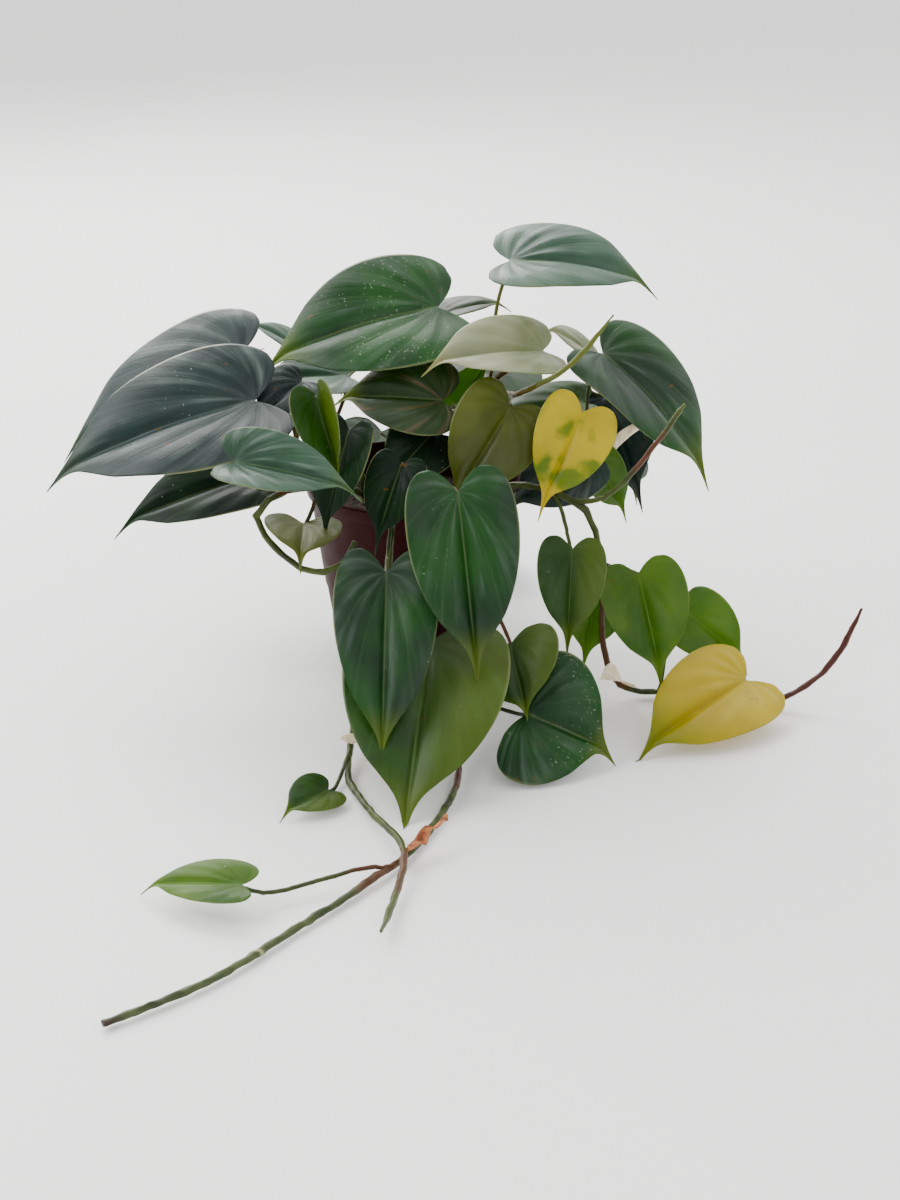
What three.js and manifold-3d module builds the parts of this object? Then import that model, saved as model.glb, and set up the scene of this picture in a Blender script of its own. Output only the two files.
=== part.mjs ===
// Potted heart-leaf philodendron: a plastic nursery pot, its potting soil, trailing vines
// with their leaf stalks, leaf blades and dry papery sheaths.
// Millimetres, +Z up. The middle of the pot's flat base is the origin, the pot's fullest
// side of trailing growth faces -Y.
import * as THREE from "three";
import * as BufferGeometryUtils from "three/addons/utils/BufferGeometryUtils.js";
import Module from "manifold-3d";

const wasm = await Module();
wasm.setup();

// ---- Sizes of the pot and the soil ----
const pot_height = 115;
const rim_radius = 64;
const base_radius = 45;
const pot_wall = 1.6;
const pot_floor = 2.0;
const lip_height = 9;
const lip_overhang = 1.8;
const step_height = 50;
const step_depth = 0.7;
const drain_hole_count = 6;
const drain_hole_radius = 4;
const drain_ring_radius = 30;
const soil_headspace = 15;
const soil_crown = 4;

// ---- Sizes of the plant ----
const vine_radius = 2.3;
const stalk_radius = 1.1;
const shoot_radius = 1.6;
const blade_thickness = 1.0;
const sheath_thickness = 0.8;
const stalk_lean = 32;
const stalk_rise = 0.2;
const tube_sides = 6;
const vine_step_length = 14;
const stalk_steps = 7;
const shoot_steps = 7;

// ---- Fits ----
const seat_gap = 0.3;
const floor_gap = 0.6;
const round_segments = 48;

// The pot the plant's points below are written for; `settle` carries them to the pot above.
const drawn_pot = { height: 115, soil: 100, rim: 64, base: 45 };
const set_pot = {
  height: pot_height,
  soil: pot_height - soil_headspace,
  rim: rim_radius,
  base: base_radius,
};

// ---- Vines: points from the soil to the growing or cut end ----
const soil_start = drawn_pot.soil + seat_gap;
const on_floor = vine_radius + floor_gap;
const vines = {
  vine_crown: [[4, 6, soil_start], [9, 14, 124], [19, 8, 149], [44, 6, 167], [56, 2, 180]],
  vine_right: [[34, 8, soil_start], [46, -2, 125], [75, 9, 132], [92, -20, 137], [106, -14, 119]],
  vine_left: [[-26, 2, soil_start], [-36, 0, 122], [-58, -11, 134], [-78, -30, 136], [-92, -44, 128]],
  vine_left_trail: [
    [-22, -26, soil_start], [-33, -47, 122], [-47, -66, 133], [-63, -69, 133], [-79, -83, 130],
    [-86, -82, 119], [-75, -90, 108], [-60, -90, 93], [-39, -97, 95], [-30, -89, 109],
  ],
  vine_front: [
    [8, -24, soil_start], [11, -52, 122], [17, -75, 119], [24, -86, 89], [26, -92, 44],
    [26, -118, 12], [26, -146, 5], [24, -170, on_floor], [-2, -239, on_floor], [-49, -297, on_floor],
    [-85, -339, on_floor], [-126, -369, on_floor],
  ],
  vine_front_shoot: [
    [-12, -30, soil_start], [-12, -55, 121], [-10, -76, 119], [-14, -83, 80], [-26, -106, 38],
    [-32, -124, 12], [-32, -156, on_floor], [-19, -199, 5.5],
    [-1, -239, 9], [-6, -281, 4.5], [-10, -308, 8],
  ],
  vine_right_trail: [
    [30, -14, soil_start], [46, -36, 121], [74, -50, 126], [98, -54, 112], [107, -56, 76],
    [108, -58, 34], [119, -60, 6], [142, -60, on_floor], [176, -68, on_floor],
    [207, -74, on_floor + 2], [236, -72, 26],
    [252, -68, 60],
  ],
  vine_back: [
    [-2, 26, soil_start], [-2, 50, 122], [5, 76, 117], [11, 92, 85], [16, 98, 40], [10, 112, 8],
    [-20, 134, on_floor], [-57, 146, on_floor],
  ],
};

// ---- Leaves of each vine: the share of the vine's length the stalk leaves it at, where the
// stalk meets the blade, the tip, the width, the turn about the midrib, the fold of the two
// halves and the bend from seat to tip (degrees), and how far the stalk leans where it ends
// if that isn't the usual ----
const leaves = {
  vine_crown: {
    leaf_01: { at: 0.80, seat: [55, 12, 238], tip: [133, 10, 225], width: 66, turn: 20, fold: 8, bend: 35 },
    leaf_02: { at: 0.47, seat: [14, 1, 214], tip: [-80, -16, 188], width: 84, turn: -34, fold: 6, bend: 35 },
    leaf_03: { at: 0.49, seat: [12, 40, 198], tip: [53, 40, 206], width: 34, turn: 5, fold: 8, bend: 20 },
    leaf_04: { at: 0.95, seat: [72, -27, 197], tip: [10, -47, 196], width: 54, turn: -23, fold: 10, bend: 25 },
    leaf_06: { at: 1.00, seat: [105, 33, 175], tip: [76, 20, 197], width: 34, turn: -23, fold: 8, bend: 20 },
    leaf_10: { at: 0.20, seat: [25, -5, 160], tip: [45, -24, 195], width: 34, turn: 105, fold: 50, bend: 10 },
    leaf_14: { at: 0.51, seat: [54, -49, 172], tip: [23, -72, 127], width: 54, turn: -57, fold: 6, bend: 25 },
    leaf_26: { at: 0.30, seat: [17, -41, 173], tip: [-40, -36, 174], width: 54, turn: -37, fold: 8, bend: 20 },
  },
  vine_right: {
    leaf_07: { at: 0.87, seat: [108, 5, 186], tip: [165, -22, 125], width: 72, turn: 16, fold: 8, bend: 40 },
    leaf_08: {
      at: 0.30, seat: [113, 38, 149], tip: [133, 7, 101], width: 58, turn: 54, fold: 8, bend: 20, lean: 70,
    },
    leaf_15: { at: 0.35, seat: [93, -52, 170], tip: [71, -71, 125], width: 46, turn: -52, fold: 8, bend: 25 },
    leaf_16: { at: 0.47, seat: [98, 12, 155], tip: [44, 5, 146], width: 42, turn: -16, fold: 6, bend: 20 },
    leaf_17: { at: 0.69, seat: [98, -27, 136], tip: [55, -41, 113], width: 44, turn: -63, fold: 8, bend: 20 },
    leaf_18: { at: 0.82, seat: [102, -21, 132], tip: [121, -19, 101], width: 30, turn: 69, fold: 8, bend: 20 },
    leaf_55: { at: 0.38, seat: [109, 57, 123], tip: [138, 86, 73], width: 58, turn: 5, fold: 8, bend: 25 },
  },
  vine_left: {
    leaf_19: { at: 0.60, seat: [-98, 0, 187], tip: [-198, 0, 133], width: 80, turn: -28, fold: 8, bend: 30 },
    leaf_20: {
      at: 0.90, seat: [-85, -51, 176], tip: [-194, -67, 139], width: 84, turn: -34, fold: 8, bend: 30,
    },
    leaf_21: { at: 0.69, seat: [-82, -13, 122], tip: [-168, -23, 93], width: 58, turn: -27, fold: 8, bend: 20 },
    leaf_23: { at: 0.30, seat: [-66, 42, 176], tip: [-96, 39, 194], width: 32, turn: -9, fold: 8, bend: 20 },
    leaf_24: { at: 0.42, seat: [-39, 15, 170], tip: [-89, 8, 168], width: 42, turn: -23, fold: 8, bend: 20 },
    leaf_25: { at: 0.62, seat: [-62, -16, 176], tip: [-87, -38, 162], width: 34, turn: -29, fold: 8, bend: 20 },
    leaf_28: {
      at: 0.94, seat: [-92, -97, 157], tip: [-29, -107, 146], width: 42, turn: 37, fold: 25, bend: 20,
    },
    leaf_56: { at: 0.22, seat: [-73, 61, 137], tip: [-119, 86, 95], width: 62, turn: 6, fold: 8, bend: 30 },
  },
  vine_left_trail: {
    leaf_27: { at: 0.24, seat: [-50, -66, 184], tip: [-38, -82, 144], width: 42, turn: 47, fold: 52, bend: 10 },
    leaf_29: { at: 0.11, seat: [-33, -69, 165], tip: [-46, -86, 116], width: 40, turn: -1, fold: 8, bend: 20 },
    leaf_37: { at: 0.30, seat: [-59, -75, 114], tip: [-58, -113, 109], width: 44, turn: -7, fold: 6, bend: 20 },
  },
  vine_front: {
    leaf_34: { at: 0.11, seat: [25, -106, 144], tip: [35, -138, 57], width: 62, turn: 12, fold: 8, bend: 25 },
    leaf_36: { at: 0.35, seat: [11, -109, 59], tip: [-2, -202, 2], width: 92, turn: -5, fold: 6, bend: 25 },
    leaf_43: { at: 0.16, seat: [54, -100, 53], tip: [62, -138, 31], width: 56, turn: 24, fold: 6, bend: 20 },
    leaf_44: { at: 0.35, seat: [62, -132, 27], tip: [105, -142, 11], width: 82, turn: 42, fold: 8, bend: 20 },
    leaf_47: { at: 0.65, seat: [-76, -279, 14], tip: [-122, -268, 7], width: 28, turn: -16, fold: 6, bend: 20 },
  },
  vine_front_shoot: {
    leaf_30: { at: 0.07, seat: [11, -42, 154], tip: [-13, -58, 131], width: 42, turn: -44, fold: 8, bend: 20 },
    leaf_31: { at: 0.12, seat: [-5, -77, 149], tip: [-18, -92, 112], width: 34, turn: -26, fold: 8, bend: 20 },
    leaf_35: { at: 0.13, seat: [-13, -106, 98], tip: [-14, -177, 27], width: 58, turn: -4, fold: 6, bend: 25 },
    leaf_46: { at: 0.52, seat: [-42, -177, 6], tip: [-63, -199, 6], width: 28, turn: -21, fold: 6, bend: 20 },
  },
  vine_right_trail: {
    leaf_38: { at: 0.19, seat: [88, -73, 98], tip: [85, -100, 54], width: 40, turn: -10, fold: 6, bend: 20 },
    leaf_39: { at: 0.35, seat: [126, -63, 79], tip: [138, -90, 30], width: 52, turn: 15, fold: 6, bend: 20 },
    leaf_40: { at: 0.29, seat: [106, -43, 71], tip: [98, -55, 24], width: 44, turn: -48, fold: 6, bend: 20 },
    leaf_41: { at: 0.62, seat: [157, -41, 46], tip: [190, -52, 20], width: 42, turn: 48, fold: 6, bend: 20 },
    leaf_42: { at: 0.65, seat: [188, -78, 20], tip: [125, -133, 6], width: 62, turn: -24, fold: 6, bend: 20 },
  },
  vine_back: {
    leaf_51: { at: 0.11, seat: [-20, 72, 175], tip: [-48, 132, 130], width: 72, turn: 9, fold: 8, bend: 30 },
    leaf_52: { at: 0.17, seat: [34, 69, 160], tip: [72, 131, 107], width: 66, turn: -10, fold: 8, bend: 30 },
    leaf_53: { at: 0.35, seat: [-22, 95, 109], tip: [-44, 136, 47], width: 60, turn: 18, fold: 8, bend: 25 },
    leaf_54: { at: 0.48, seat: [34, 123, 58], tip: [58, 151, 12], width: 52, turn: -6, fold: 8, bend: 20 },
  },
};

// ---- Dry papery sheaths of each vine: the share of its length of the node they stand at,
// the way they stand off it and the way their tip reaches (mm) ----
const sheaths = {
  vine_crown: {
    sheath_1: { at: 0.45, off: [0.2, -1, 0], reach: [12, -14, 8], width: 12, turn: -40, fold: 30, bend: 30 },
  },
  vine_right: {
    sheath_2: { at: 0.97, off: [1, 0.6, 0.4], reach: [22, 10, 16], width: 12, turn: -50, fold: 30, bend: 45 },
  },
  vine_front_shoot: {
    sheath_3: { at: 0.52, off: [0.3, -0.3, 1], reach: [14, -14, 2], width: 12, turn: -30, fold: 30, bend: 40 },
  },
  vine_right_trail: {
    sheath_4: { at: 0.56, off: [0, -0.6, 1], reach: [-10, -18, 10], width: 14, turn: -30, fold: 25, bend: 30 },
  },
};

// ---- Rolled young shoots of each vine: the share of its length they leave it at, and the
// points they pass through to their tip ----
const shoots = {
  vine_crown: [
    { at: 0.80, through: [[56, -24, 172], [64, -54, 184], [84, -58, 196], [106, -48, 220]] },
  ],
  vine_right_trail: [
    { at: 0.15, through: [[106, -60, 122], [120, -62, 138], [134, -60, 156], [146, -54, 172]] },
  ],
};

// ---- Colours ----
const looks = {
  pot: { color: "#3a0f0d", roughness: 0.45 },
  soil: { color: "#2b1d14", roughness: 0.95 },
  vine: { color: "#6f7a45", roughness: 0.6 },
  deep: { color: "#2c4a33", roughness: 0.4 },
  slate: { color: "#3c5250", roughness: 0.4 },
  olive: { color: "#7d8424", roughness: 0.45 },
  yellow: { color: "#cfc015", roughness: 0.45 },
  bright: { color: "#6ea31f", roughness: 0.4 },
  pale: { color: "#b9b9a4", roughness: 0.5 },
  paper: { color: "#e2d3b4", roughness: 0.8 },
};
const leaf_looks = {
  leaf_03: "pale", leaf_06: "pale", leaf_04: "pale", leaf_23: "pale", leaf_24: "pale",
  leaf_19: "slate", leaf_20: "slate", leaf_21: "slate", leaf_28: "slate", leaf_01: "slate",
  leaf_14: "olive", leaf_37: "olive", leaf_36: "olive", leaf_43: "olive", leaf_27: "olive",
  leaf_15: "yellow", leaf_42: "yellow", leaf_18: "bright", leaf_39: "bright",
  leaf_40: "bright", leaf_41: "bright",
};

function meshOf(name, geometry, look) {
  const mesh = new THREE.Mesh(geometry, new THREE.MeshStandardMaterial({ ...look, metalness: 0 }));
  mesh.name = name;
  return mesh;
}

function joined(geometry) {
  geometry.deleteAttribute("normal");
  geometry.deleteAttribute("uv");
  return BufferGeometryUtils.mergeVertices(geometry, 1e-4);
}

function toManifold(geometry) {
  return new wasm.Manifold(new wasm.Mesh({
    numProp: 3,
    vertProperties: Float32Array.from(geometry.attributes.position.array),
    triVerts: Uint32Array.from(geometry.index.array),
  }));
}

function fromManifold(manifold) {
  const mesh = manifold.getMesh();
  const geometry = new THREE.BufferGeometry();
  geometry.setAttribute("position", new THREE.BufferAttribute(mesh.vertProperties, 3));
  geometry.setIndex(new THREE.BufferAttribute(mesh.triVerts, 1));
  return geometry;
}

// A body of revolution about +Z from [radius, height] points that close on themselves.
function turned(profile) {
  const points = profile.map(([radius, height]) => new THREE.Vector2(radius, height));
  const body = new THREE.LatheGeometry(points, round_segments);
  body.rotateX(Math.PI / 2);
  return joined(body);
}

// ---- Pot: a thin tapered shell with a shallow step, an outward lip and drain holes ----
function outerRadius(pot, height) {
  return pot.base + (pot.rim - pot.base) * Math.min(height / pot.height, 1);
}

function potGeometry() {
  const step_radius = outerRadius(set_pot, step_height);
  const lip_bottom = pot_height - lip_height;
  const lip_radius = outerRadius(set_pot, lip_bottom);
  const inner_top = rim_radius - lip_overhang - pot_wall;
  const profile = [
    [0, 0],
    [base_radius - 1, 0],
    [base_radius, 1],
    [step_radius - step_depth, step_height],
    [step_radius, step_height + step_depth],
    [lip_radius - lip_overhang, lip_bottom],
    [lip_radius, lip_bottom + 1],
    [rim_radius, pot_height - 1],
    [rim_radius - 1, pot_height],
    [inner_top, pot_height],
    [innerRadius(lip_bottom), lip_bottom],
    [innerRadius(pot_floor), pot_floor],
    [0, pot_floor],
  ];
  let pot = toManifold(turned(profile));
  for (let i = 0; i < drain_hole_count; i += 1) {
    const angle = (i + 0.5) * 2 * Math.PI / drain_hole_count;
    const hole = joined(new THREE.CylinderGeometry(drain_hole_radius, drain_hole_radius, pot_floor * 3, 12));
    hole.rotateX(Math.PI / 2);
    hole.translate(drain_ring_radius * Math.cos(angle), drain_ring_radius * Math.sin(angle), pot_floor / 2);
    pot = pot.subtract(toManifold(hole));
  }
  return fromManifold(pot);
}

// The inside face of the pot's wall, straight from the floor to the lip.
function innerRadius(height) {
  return outerRadius(set_pot, height) - lip_overhang - pot_wall;
}

// ---- Soil: fills the pot to below its rim, gently crowned in the middle ----
function soilGeometry() {
  const bottom = pot_floor + seat_gap;
  const edge = set_pot.soil - soil_crown;
  return turned([
    [0, bottom],
    [innerRadius(bottom) - seat_gap, bottom],
    [innerRadius(edge) - seat_gap, edge],
    [innerRadius(edge) * 0.8, set_pot.soil - soil_crown * 0.25],
    [innerRadius(edge) * 0.7, set_pot.soil],
    [0, set_pot.soil],
  ]);
}

// ---- Plant ----
// Carries a point written for the drawn pot to the pot that is set: below the rim heights
// stretch with the pot, above it they shift, and sideways they keep clear of its wall.
function settle(geometry) {
  const position = geometry.attributes.position;
  for (let i = 0; i < position.count; i += 1) {
    const [x, y, z] = [position.getX(i), position.getY(i), position.getZ(i)];
    const reach = Math.hypot(x, y);
    const wall = outerRadius(drawn_pot, z);
    const inside = reach < wall;
    let height = z - drawn_pot.height + set_pot.height;
    if (z < drawn_pot.height && !inside) height = z * set_pot.height / drawn_pot.height;
    if (z < drawn_pot.height && inside) {
      const share = (z - drawn_pot.soil) / (drawn_pot.height - drawn_pot.soil);
      height = set_pot.soil + share * (set_pot.height - set_pot.soil);
    }
    const new_wall = outerRadius(set_pot, height);
    const new_reach = inside ? reach * new_wall / wall : reach + new_wall - wall;
    const spread = reach > 0 ? new_reach / reach : 1;
    position.setXYZ(i, x * spread, y * spread, height);
  }
  return geometry;
}

function tube(curve, radius, steps) {
  const ring = new THREE.Shape();
  for (let i = 0; i < tube_sides; i += 1) {
    const angle = i * 2 * Math.PI / tube_sides;
    const corner = [radius * Math.cos(angle), radius * Math.sin(angle)];
    if (i === 0) ring.moveTo(...corner);
    else ring.lineTo(...corner);
  }
  ring.closePath();
  const options = { steps, bevelEnabled: false, extrudePath: curve };
  return toManifold(joined(new THREE.ExtrudeGeometry(ring, options)));
}

// A vine leaves the soil upright and then follows its points.
function vineCurve(points) {
  const [foot, ...rest] = points.map((point) => new THREE.Vector3(...point));
  const above = foot.clone().add(new THREE.Vector3(0, 0, vine_radius * 3));
  return new THREE.CatmullRomCurve3([foot, above, ...rest], false, "centripetal");
}

// The directions of a blade at its seat: along the midrib, to its left, and out of its face.
function bladeFrame(leaf) {
  const seat = new THREE.Vector3(...leaf.seat);
  const along = new THREE.Vector3(...leaf.tip).sub(seat);
  const length = along.length();
  along.normalize();
  const left = new THREE.Vector3(0, 0, 1).cross(along).normalize();
  left.applyAxisAngle(along, THREE.MathUtils.degToRad(leaf.turn));
  const up = new THREE.Vector3().crossVectors(along, left);
  return { seat, along, left, up, length };
}

// Half of a heart-shaped blade: where each rib leaves the midrib and where it meets the
// margin, as shares of the length and of the half width.
const blade_ribs = [
  [0, -0.09, 0.20], [0, -0.16, 0.52], [0, -0.08, 0.86], [0.10, 0.14, 1.0],
  [0.28, 0.40, 0.94], [0.50, 0.64, 0.70], [0.72, 0.84, 0.33], [0.88, 0.94, 0.09],
];

function bladeGeometry(leaf, thickness) {
  const { seat, along, left, up, length } = bladeFrame(leaf);
  const bend = THREE.MathUtils.degToRad(leaf.bend);
  const fold = THREE.MathUtils.degToRad(leaf.fold);
  // The seat's tangent is raised by half the bend, so that seat and tip stay where they are.
  const arc = length * bend / (2 * Math.sin(bend / 2));
  const corners = [];
  const push = (share, across, side, face) => {
    const turn = bend * (share - 0.5);
    const radius = arc / bend;
    const run = radius * (Math.sin(turn) + Math.sin(bend / 2));
    const rise = radius * (Math.cos(turn) - Math.cos(bend / 2));
    const tangent = along.clone().multiplyScalar(Math.cos(turn)).addScaledVector(up, -Math.sin(turn));
    const normal = up.clone().multiplyScalar(Math.cos(turn)).addScaledVector(along, Math.sin(turn));
    const lift = across > 0 ? fold : 0;
    const out = left.clone().multiplyScalar(side * Math.cos(lift)).addScaledVector(normal, Math.sin(lift));
    const face_normal = normal.clone().multiplyScalar(Math.cos(lift))
      .addScaledVector(left, -side * Math.sin(lift));
    const point = seat.clone().addScaledVector(along, run).addScaledVector(up, rise);
    point.addScaledVector(out, across * leaf.width / 2);
    point.addScaledVector(face_normal, face * thickness / 2);
    corners.push(point);
    return corners.length - 1;
  };
  const midrib_shares = [0, ...blade_ribs.slice(3).map((rib) => rib[0]), 1];
  const index = [];
  const layers = [1, -1].map((face) => {
    const spine = midrib_shares.map((share) => push(share, 0, 1, face));
    const halves = [1, -1].map((side) => blade_ribs.map(([root, share, across]) => [
      spine[midrib_shares.indexOf(root)],
      push((root + share) / 2, across / 2, side, face),
      push(share, across, side, face),
    ]));
    return { spine, halves };
  });
  const triangle = (a, b, c, flip) => {
    if (a === b || b === c || a === c) return;
    index.push(...(flip ? [a, c, b] : [a, b, c]));
  };
  const quad = (a, b, c, d, flip) => {
    triangle(a, b, c, flip);
    triangle(a, c, d, flip);
  };
  layers.forEach(({ spine, halves }, layer) => halves.forEach((ribs, half) => {
    const flip = (layer === 0) !== (half === 0);
    for (let i = 0; i + 1 < ribs.length; i += 1) {
      for (const j of [0, 1]) quad(ribs[i][j], ribs[i + 1][j], ribs[i + 1][j + 1], ribs[i][j + 1], flip);
    }
    const last = ribs[ribs.length - 1];
    const tip = spine[spine.length - 1];
    triangle(last[0], tip, last[1], flip);
    triangle(last[1], tip, last[2], flip);
  }));
  [0, 1].forEach((half) => {
    const rim = layers.map(({ spine, halves }) => [
      ...halves[half][0],
      ...halves[half].slice(1).map((rib) => rib[2]),
      spine[spine.length - 1],
    ]);
    for (let i = 0; i + 1 < rim[0].length; i += 1) {
      quad(rim[0][i], rim[0][i + 1], rim[1][i + 1], rim[1][i], half === 1);
    }
  });
  const geometry = new THREE.BufferGeometry().setFromPoints(corners);
  geometry.setIndex(index);
  return geometry;
}

// A leaf stalk from inside its vine to just under the blade's seat, where it comes in from
// behind, leaning towards the tip.
function stalk(leaf, curve) {
  const { seat, along, up } = bladeFrame(leaf);
  const half_bend = THREE.MathUtils.degToRad(leaf.bend / 2);
  const normal = up.clone().multiplyScalar(Math.cos(half_bend)).addScaledVector(along, -Math.sin(half_bend));
  const tangent = along.clone().multiplyScalar(Math.cos(half_bend)).addScaledVector(up, Math.sin(half_bend));
  const lean = THREE.MathUtils.degToRad(leaf.lean ?? stalk_lean);
  const arrival = normal.clone().multiplyScalar(Math.cos(lean)).addScaledVector(tangent, Math.sin(lean));
  const drop = blade_thickness / 2 + seat_gap + stalk_radius * Math.sin(lean);
  const end = seat.clone().addScaledVector(normal, -drop);
  const root = curve.getPointAt(leaf.at);
  const reach = root.distanceTo(seat);
  const leave = root.clone().lerp(end, 0.25).add(new THREE.Vector3(0, 0, reach * stalk_rise));
  const approach = end.clone().addScaledVector(arrival, -reach * 0.3);
  return tube(new THREE.CubicBezierCurve3(root, leave, approach, end), stalk_radius, stalk_steps);
}

// A rolled shoot: a tube that ends in a thinner tip.
function shoot({ at, through }, curve) {
  const points = through.map((point) => new THREE.Vector3(...point));
  const path = new THREE.CatmullRomCurve3([curve.getPointAt(at), ...points]);
  const tip = new THREE.CatmullRomCurve3([0.6, 0.75, 0.9, 1.06].map((share) => {
    return share < 1 ? path.getPointAt(share) : path.getPointAt(1).addScaledVector(path.getTangentAt(1), 4);
  }));
  return tube(path, shoot_radius, shoot_steps).add(tube(tip, shoot_radius * 0.6, shoot_steps));
}

function vineGeometry(name) {
  const curve = vineCurve(vines[name]);
  let body = tube(curve, vine_radius, Math.ceil(curve.getLength() / vine_step_length));
  for (const leaf of Object.values(leaves[name])) body = body.add(stalk(leaf, curve));
  for (const grown of shoots[name] ?? []) body = body.add(shoot(grown, curve));
  return fromManifold(body);
}

// A sheath in a leaf's terms: it stands just off the surface of its vine at the node.
function sheathBlade(sheath, curve) {
  const off = new THREE.Vector3(...sheath.off).normalize();
  const reach = new THREE.Vector3(...sheath.reach);
  const stand_off = vine_radius + seat_gap + sheath_thickness + reach.length() * 0.145;
  const seat = curve.getPointAt(sheath.at).addScaledVector(off, stand_off);
  return { ...sheath, seat: seat.toArray(), tip: seat.clone().add(reach).toArray() };
}

const philodendron = new THREE.Group();
philodendron.add(meshOf("nursery_pot", potGeometry(), looks.pot));
philodendron.add(meshOf("potting_soil", soilGeometry(), looks.soil));
for (const name of Object.keys(vines)) {
  philodendron.add(meshOf(name, settle(vineGeometry(name)), looks.vine));
}
for (const [name, leaf] of Object.values(leaves).flatMap(Object.entries)) {
  const look = looks[leaf_looks[name] ?? "deep"];
  philodendron.add(meshOf(name, settle(bladeGeometry(leaf, blade_thickness)), look));
}
for (const [vine, grown] of Object.entries(sheaths)) {
  for (const [name, sheath] of Object.entries(grown)) {
    const blade = bladeGeometry(sheathBlade(sheath, vineCurve(vines[vine])), sheath_thickness);
    philodendron.add(meshOf(name, settle(blade), looks.paper));
  }
}

export default philodendron;
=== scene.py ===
"""Looks of the potted heart-leaf philodendron: a moulded nursery pot, potting mix, trailing
vines with their leaf stalks, waxy leaf blades and dry papery sheaths. Metres, +Z up."""
import math
import random

import bpy
import numpy as np
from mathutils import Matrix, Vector, kdtree, noise


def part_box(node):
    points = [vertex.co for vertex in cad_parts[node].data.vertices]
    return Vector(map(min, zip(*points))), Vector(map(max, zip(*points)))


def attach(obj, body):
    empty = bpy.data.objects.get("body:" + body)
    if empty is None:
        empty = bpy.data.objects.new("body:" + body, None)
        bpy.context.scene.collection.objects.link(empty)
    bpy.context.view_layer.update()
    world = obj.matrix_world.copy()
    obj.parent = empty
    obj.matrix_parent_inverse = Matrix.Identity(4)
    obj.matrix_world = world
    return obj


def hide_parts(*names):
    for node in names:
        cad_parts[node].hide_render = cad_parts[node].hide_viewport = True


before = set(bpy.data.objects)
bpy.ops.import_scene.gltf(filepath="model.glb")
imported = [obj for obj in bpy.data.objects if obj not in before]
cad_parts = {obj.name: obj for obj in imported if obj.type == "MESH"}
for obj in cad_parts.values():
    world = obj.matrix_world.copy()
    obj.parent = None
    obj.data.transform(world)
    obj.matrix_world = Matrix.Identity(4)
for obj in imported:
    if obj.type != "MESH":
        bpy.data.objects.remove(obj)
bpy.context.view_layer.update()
bpy.ops.object.select_all(action="DESELECT")


# ---- Nursery pot ----
# One thin injection-moulded shell of maroon polypropylene, satin outside, with a shallow step
# in the wall, a turned-out lip and drain holes in its base.
def linear(code):
    """An sRGB hex colour as linear RGBA."""
    channels = [int(code[i:i + 2], 16) / 255 for i in (1, 3, 5)]
    return [c / 12.92 if c <= 0.04045 else ((c + 0.055) / 1.055) ** 2.4 for c in channels] + [1]


def add(tree, kind, links=None, **settings):
    """Adds a shader node: settings name its properties or inputs, links its linked inputs."""
    node = tree.nodes.new("ShaderNode" + kind)
    for key, value in settings.items():
        if hasattr(node, key):
            setattr(node, key, value)
        else:
            node.inputs[key.replace("_", " ")].default_value = value
    for key, socket in (links or {}).items():
        tree.links.new(socket, node.inputs[key])
    return node


def noise_at(tree, scale, detail=3, stretch=(1, 1, 1)):
    """Noise in the part's own coordinates, scale per metre, drawn out along an axis by stretch."""
    place = add(tree, "TexCoord").outputs["Object"]
    mapped = add(tree, "Mapping", {"Vector": place}, Scale=stretch).outputs["Vector"]
    return add(tree, "TexNoise", {"Vector": mapped}, Scale=scale, Detail=detail).outputs["Fac"]


def ramp(tree, value, low, high, start=0, end=1):
    """Value taken smoothly from start at low to end at high."""
    step = add(tree, "MapRange", {"Value": value}, interpolation_type="SMOOTHSTEP",
               From_Min=low, From_Max=high, To_Min=start, To_Max=end)
    return step.outputs["Result"]


def maths(tree, operation, *values):
    """A maths node on sockets and numbers."""
    node = add(tree, "Math", operation=operation)
    for i, value in enumerate(values):
        if isinstance(value, (int, float)):
            node.inputs[i].default_value = value
        else:
            tree.links.new(value, node.inputs[i])
    return node.outputs[0]


def blend(tree, factor, first, second, how="MIX"):
    """First and second colour mixed by factor: colours are hex codes or sockets."""
    node = add(tree, "Mix", data_type="RGBA", blend_type=how, clamp_factor=True)
    for i, value in ((0, factor), (6, first), (7, second)):
        if isinstance(value, str):
            node.inputs[i].default_value = linear(value)
        elif isinstance(value, (int, float)):
            node.inputs[i].default_value = value
        else:
            tree.links.new(value, node.inputs[i])
    return node.outputs[2]


def new_material(name):
    """An empty material, its node tree and its Principled shader."""
    material = bpy.data.materials.new(name)
    material.use_nodes = True
    return material, material.node_tree, material.node_tree.nodes["Principled BSDF"]


def bump(tree, shader, height, depth):
    """Relief of that depth in metres from a height socket of 0 to 1."""
    node = add(tree, "Bump", {"Height": height}, Strength=1.0, Distance=depth)
    tree.links.new(node.outputs["Normal"], shader.inputs["Normal"])


def finish_piece(piece, name, node=None):
    """Names a finished piece and ties it to the part, in place of a CAD node if one is given."""
    piece.name = name
    piece.data.name = name
    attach(piece, "root")
    if node:
        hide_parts(node)


_, pot_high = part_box("nursery_pot")
rim_radius = pot_high.x
pot_height = pot_high.z
base_radius = rim_radius * 45 / 64
wall = 0.0016
lip = 0.0018
lip_depth = 0.009
hole_count = 6
hole_radius = 0.004
hole_ring = 0.030


def wall_radius(height):
    """The tapered wall's outer radius at a height."""
    return base_radius + (rim_radius - base_radius) * height / pot_height


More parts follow.
